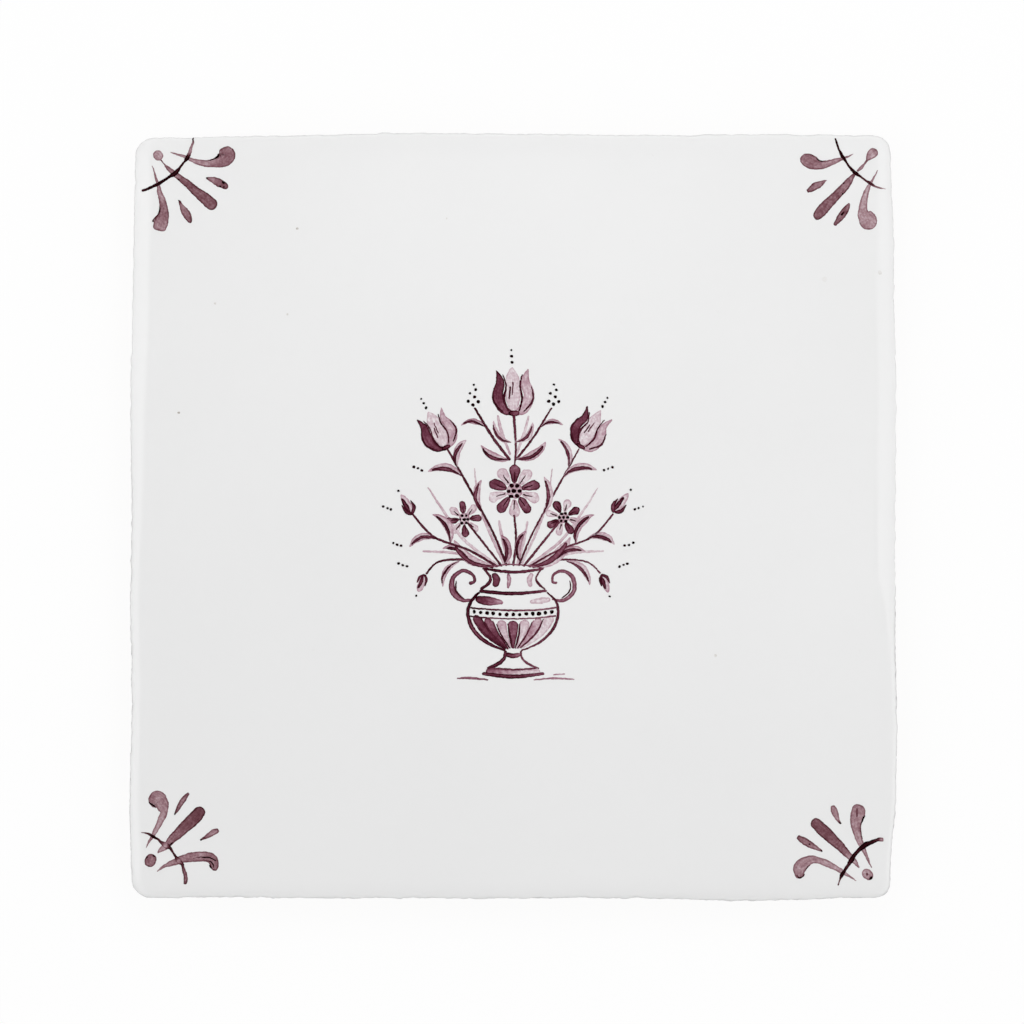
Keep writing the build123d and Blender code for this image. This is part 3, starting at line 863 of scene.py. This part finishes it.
def bud(base, turn, size):
    """A closed bud: a light dab, a dark one on its left, and its sepals."""
    way = size * cmath.rect(1, math.radians(turn))
    body = [base, base + way * 1.4j, base + way * 3.0j, base + way * 3.8j]
    strokes = [stroke(body, [0.4 * size, 0.8 * size, 0.6 * size, 0.1], 0.3)]
    shade = [spot - 0.25 * size for spot in body[:3]]
    strokes.append(stroke(shade, [0.1, 0.4 * size, 0.2 * size], 1.5, pools))
    for side in (-1, 1):
        sepal = [base + way * spot for spot in (-0.2j, complex(0.8 * side, 0.7), complex(0.9 * side, 2.1))]
        strokes.append(stroke(sepal, [0.24 * size, 0.32 * size, 0.08], 1.4, lines))
    strokes.append(dot(base + way * 4.6j, 0.22, 2.6))
    return strokes


def flower_strokes():
    strokes = tulip(0.1 + 17.4j, 2, 1.05)
    strokes += tulip(-11.3 + 11.7j, 27, 0.9) + tulip(11.4 + 11.9j, -29, 0.92)
    strokes += rosette(0.2 + 4.4j, 4.4, 10, 0.3)
    strokes += rosette(-8.3 - 0.4j, 3.0, 8, 0.1) + rosette(8.5 - 0.1j, 3.1, 8, 0.5)
    strokes += bud(-17.1 + 0.7j, 32, 0.95) + bud(17.2 + 0.9j, -36, 1.0)
    strokes += bud(-15.0 - 9.9j, 158, 0.8) + bud(15.1 - 9.9j, 200, 0.82)
    for side in (-1, 1):
        head = complex(6.8 * side, 19.0)
        for berry in (0, 0.9 + 0.5j, -0.8 + 0.6j, 0.3 + 1.3j, -0.5 + 1.9j, 0.5 + 2.5j, 0.1 + 3.4j):
            strokes.append(dot(head + berry, 0.33 - 0.035 * abs(berry), 2.6))
        for spray in (complex(18.9, -4.9), complex(15.4, 7.9), complex(18.0, -8.4), complex(20.6, 1.2)):
            for bead in range(3):
                spot = complex(side * (spray.real + 0.7 * bead), spray.imag + 0.25 * bead)
                strokes.append(dot(spot, 0.22, 2.4))
    return strokes


paint("flower_vase", vase_strokes(), fine_manganese)
paint("stems_and_leaves", leaf_strokes(), fine_manganese, step=0.1 * mm)
paint("flowers", flower_strokes(), fine_manganese)

# Kiln specks
# A few grains of iron from the clay and the kiln have melted into the glaze as faint round stains.
# Each has a place in mm from the tile's middle, a radius and a load of colour.
iron_speck = fired_colour("iron_speck", (0.30, 0.26, 0.22))
speck_marks = (
    (-36.5 + 48.8j, 0.2, 0.25), (-50.4 + 36.1j, 0.17, 0.15), (-38.2 + 34.3j, 0.18, 0.17),
    (-56.6 + 17.7j, 0.18, 0.45), (-11.3 + 50.5j, 0.18, 0.12), (34.2 - 23.4j, 0.24, 0.12),
    (62.1 + 41.4j, 0.33, 0.09), (52.7 + 40.2j, 0.4, 0.0), (-33.8 - 22.6j, 0.12, 0.0),
)
specks = [dot(spot, radius, load, dabs) for spot, radius, load in speck_marks]
paint("kiln_specks", specks, iron_speck)

# Studio
# The tile lies face up on a white table under a white sky, lit most from the picture's upper side. A dark
# strip overhead is what the flat glaze mirrors, and the sky and panels beside it brighten the side rims.
# The camera looks straight down through a long lens, framed as the photograph is.
frame_width = 173.3 * mm
camera_height = 1.6
frame_centre = (-0.19 * mm, 0.83 * mm)
# The table and the sky look brighter to the camera than the light that they give
table_shown = 0.93
table_glow = 0.3
sky_shown = 0.984
sky_bright = 0.96
strip_bright = 0.03
strip_squeeze = (3.8, 1.3, 0)

floor_mesh = bpy.data.meshes.new("floor")
floor_mesh.from_pydata([(-3, -3, 0), (3, -3, 0), (3, 3, 0), (-3, 3, 0)], [], [(0, 1, 2, 3)])
floor = bpy.data.objects.new("floor", floor_mesh)
bpy.context.scene.collection.objects.link(floor)
floor_paper, paper_tree, paper_shader = new_material("white_table")
paper_shader.inputs["Base Color"].default_value = (0.06, 0.06, 0.06, 1)
paper_shader.inputs["Roughness"].default_value = 1.0
paper_shader.inputs["Specular IOR Level"].default_value = 0.0
paper_shader.inputs["Emission Color"].default_value = (1, 1, 1, 1)
in_view = place(paper_tree, "ShaderNodeLightPath").outputs["Is Camera Ray"]
table_light = ranged(paper_tree, in_view, 0.0, 1.0, table_glow, table_shown)
paper_tree.links.new(table_light, paper_shader.inputs["Emission Strength"])
floor_mesh.materials.append(floor_paper)

world = bpy.data.worlds.new("studio")
world.use_nodes = True
bpy.context.scene.world = world
sky = world.node_tree
backdrop = sky.nodes["Background"]
way = place(sky, "ShaderNodeTexCoord").outputs["Generated"]
squeezed = vectors(sky, "MULTIPLY", {0: way, 1: strip_squeeze})
aside = place(sky, "ShaderNodeVectorMath", {0: squeezed}, operation="LENGTH").outputs["Value"]
ceiling = ranged(sky, aside, 0.75, 1.15, strip_bright, sky_bright, smooth=True)
open_sky = place(sky, "ShaderNodeLightPath").outputs["Is Camera Ray"]
sky.links.new(mixed(sky, open_sky, ceiling, sky_shown), backdrop.inputs["Strength"])
backdrop.inputs["Color"].default_value = (1, 1, 1, 1)


def panel(name, at, width, height, brightness, glossy=True):
    """A soft light panel that faces the tile, this bright all over."""
    light = bpy.data.lights.new(name, "AREA")
    light.shape = "RECTANGLE"
    light.size = width
    light.size_y = height
    light.energy = brightness * math.pi * width * height
    lamp = bpy.data.objects.new(name, light)
    lamp.location = at
    lamp.rotation_euler = (-Vector(at)).to_track_quat("-Z", "Y").to_euler()
    lamp.visible_glossy = glossy
    bpy.context.scene.collection.objects.link(lamp)


panel("key_panel", (0.06, 0.20, 0.38), 0.3, 0.2, 2.3, glossy=False)
panel("left_panel", (-0.83, 0.0, 0.83), 0.5, 1.3, 0.7)
panel("right_panel", (0.83, 0.0, 0.83), 0.5, 1.3, 0.3)
# Two small panels near the lens glow softly in the upper and the right part of the face.
panel("upper_glow", (0.0, 0.10, 1.55), 0.14, 0.05, 1.2)
panel("right_glow", (0.10, 0.0, 1.55), 0.05, 0.11, 0.7)

camera_data = bpy.data.cameras.new("camera")
camera_data.angle = 2 * math.atan(frame_width / 2 / (camera_height - face_height))
camera_data.clip_end = 20
camera = bpy.data.objects.new("camera", camera_data)
camera.location = (*frame_centre, camera_height)
bpy.context.scene.collection.objects.link(camera)
bpy.context.scene.camera = camera
bpy.context.scene.view_settings.view_transform = "Standard"
